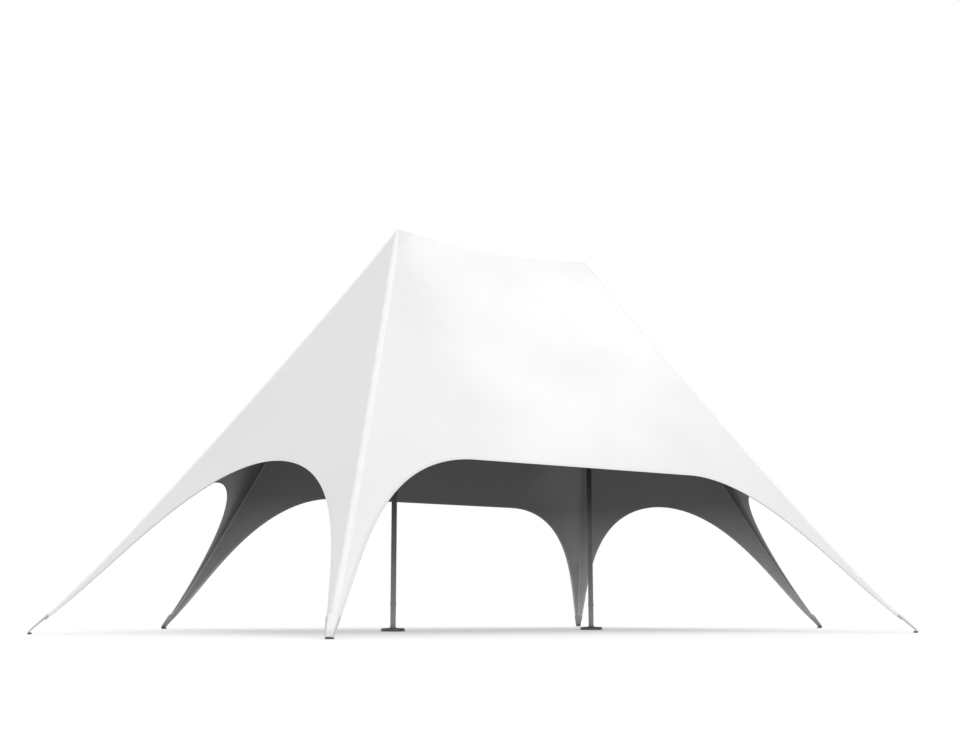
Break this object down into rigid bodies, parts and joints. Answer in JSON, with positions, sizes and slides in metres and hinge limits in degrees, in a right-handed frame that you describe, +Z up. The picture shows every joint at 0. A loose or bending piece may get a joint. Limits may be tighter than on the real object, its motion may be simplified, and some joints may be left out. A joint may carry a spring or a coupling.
{
  "type": "twin pole star tent",
  "caption": "Twin-peak star tent: a stretched white cloth canopy on upright poles, drawn down to ground feet, with open arches all round.",
  "frame": {"origin": "on the ground, midway between the two poles", "axes": "+X along the line of the poles, +Y to the back, +Z up"},
  "size_m": [12.4, 8.0014, 5.7],
  "materials": {
    "canopy_cloth": "plain weave coated polyester, white outside, dark in its own shade inside",
    "ridge_webbing": "white woven webbing in a sewn ridge sleeve",
    "arch_hem": "grey corded hem",
    "foot_plate": "satin brushed",
    "foot_toe": "matt black",
    "pole_tube": "dull grey anodised",
    "pole_base": "dark grey powder coat",
    "pole_fitting": "black moulded nylon"
  },
  "bodies": {
    "root": {"front_panel": "canopy_cloth", "back_panel": "canopy_cloth", "front_left_panel": "canopy_cloth", "back_left_panel": "canopy_cloth", "front_right_panel": "canopy_cloth", "back_right_panel": "canopy_cloth", "peak_cap_left": "canopy_cloth", "peak_cap_right": "canopy_cloth", "ridge_band_left": "ridge_webbing", "ridge_band_back_left": "ridge_webbing", "ridge_band_front_left": "ridge_webbing", "ridge_band_back_right": "ridge_webbing", "ridge_band_right": "ridge_webbing", "ridge_band_front_right": "ridge_webbing", "ridge_band_top": "ridge_webbing", "front_hem": "arch_hem", "back_hem": "arch_hem", "front_left_hem": "arch_hem", "back_left_hem": "arch_hem", "front_right_hem": "arch_hem", "back_right_hem": "arch_hem", "foot_plate_left": "foot_plate", "foot_toe_left": "foot_toe", "foot_plate_back_left": "foot_plate", "foot_toe_back_left": "foot_toe", "foot_plate_front_left": "foot_plate", "foot_toe_front_left": "foot_toe", "foot_plate_back_right": "foot_plate", "foot_toe_back_right": "foot_toe", "foot_plate_right": "foot_plate", "foot_toe_right": "foot_toe", "foot_plate_front_right": "foot_plate", "foot_toe_front_right": "foot_toe", "lower_pole_left": "pole_tube", "upper_pole_left": "pole_tube", "base_disc_left": "pole_base", "base_hub_left": "pole_base", "pole_collar_left": "pole_fitting", "pole_head_left": "pole_fitting", "lower_pole_right": "pole_tube", "upper_pole_right": "pole_tube", "base_disc_right": "pole_base", "base_hub_right": "pole_base", "pole_collar_right": "pole_fitting", "pole_head_right": "pole_fitting"}
  },
  "joints": []
}
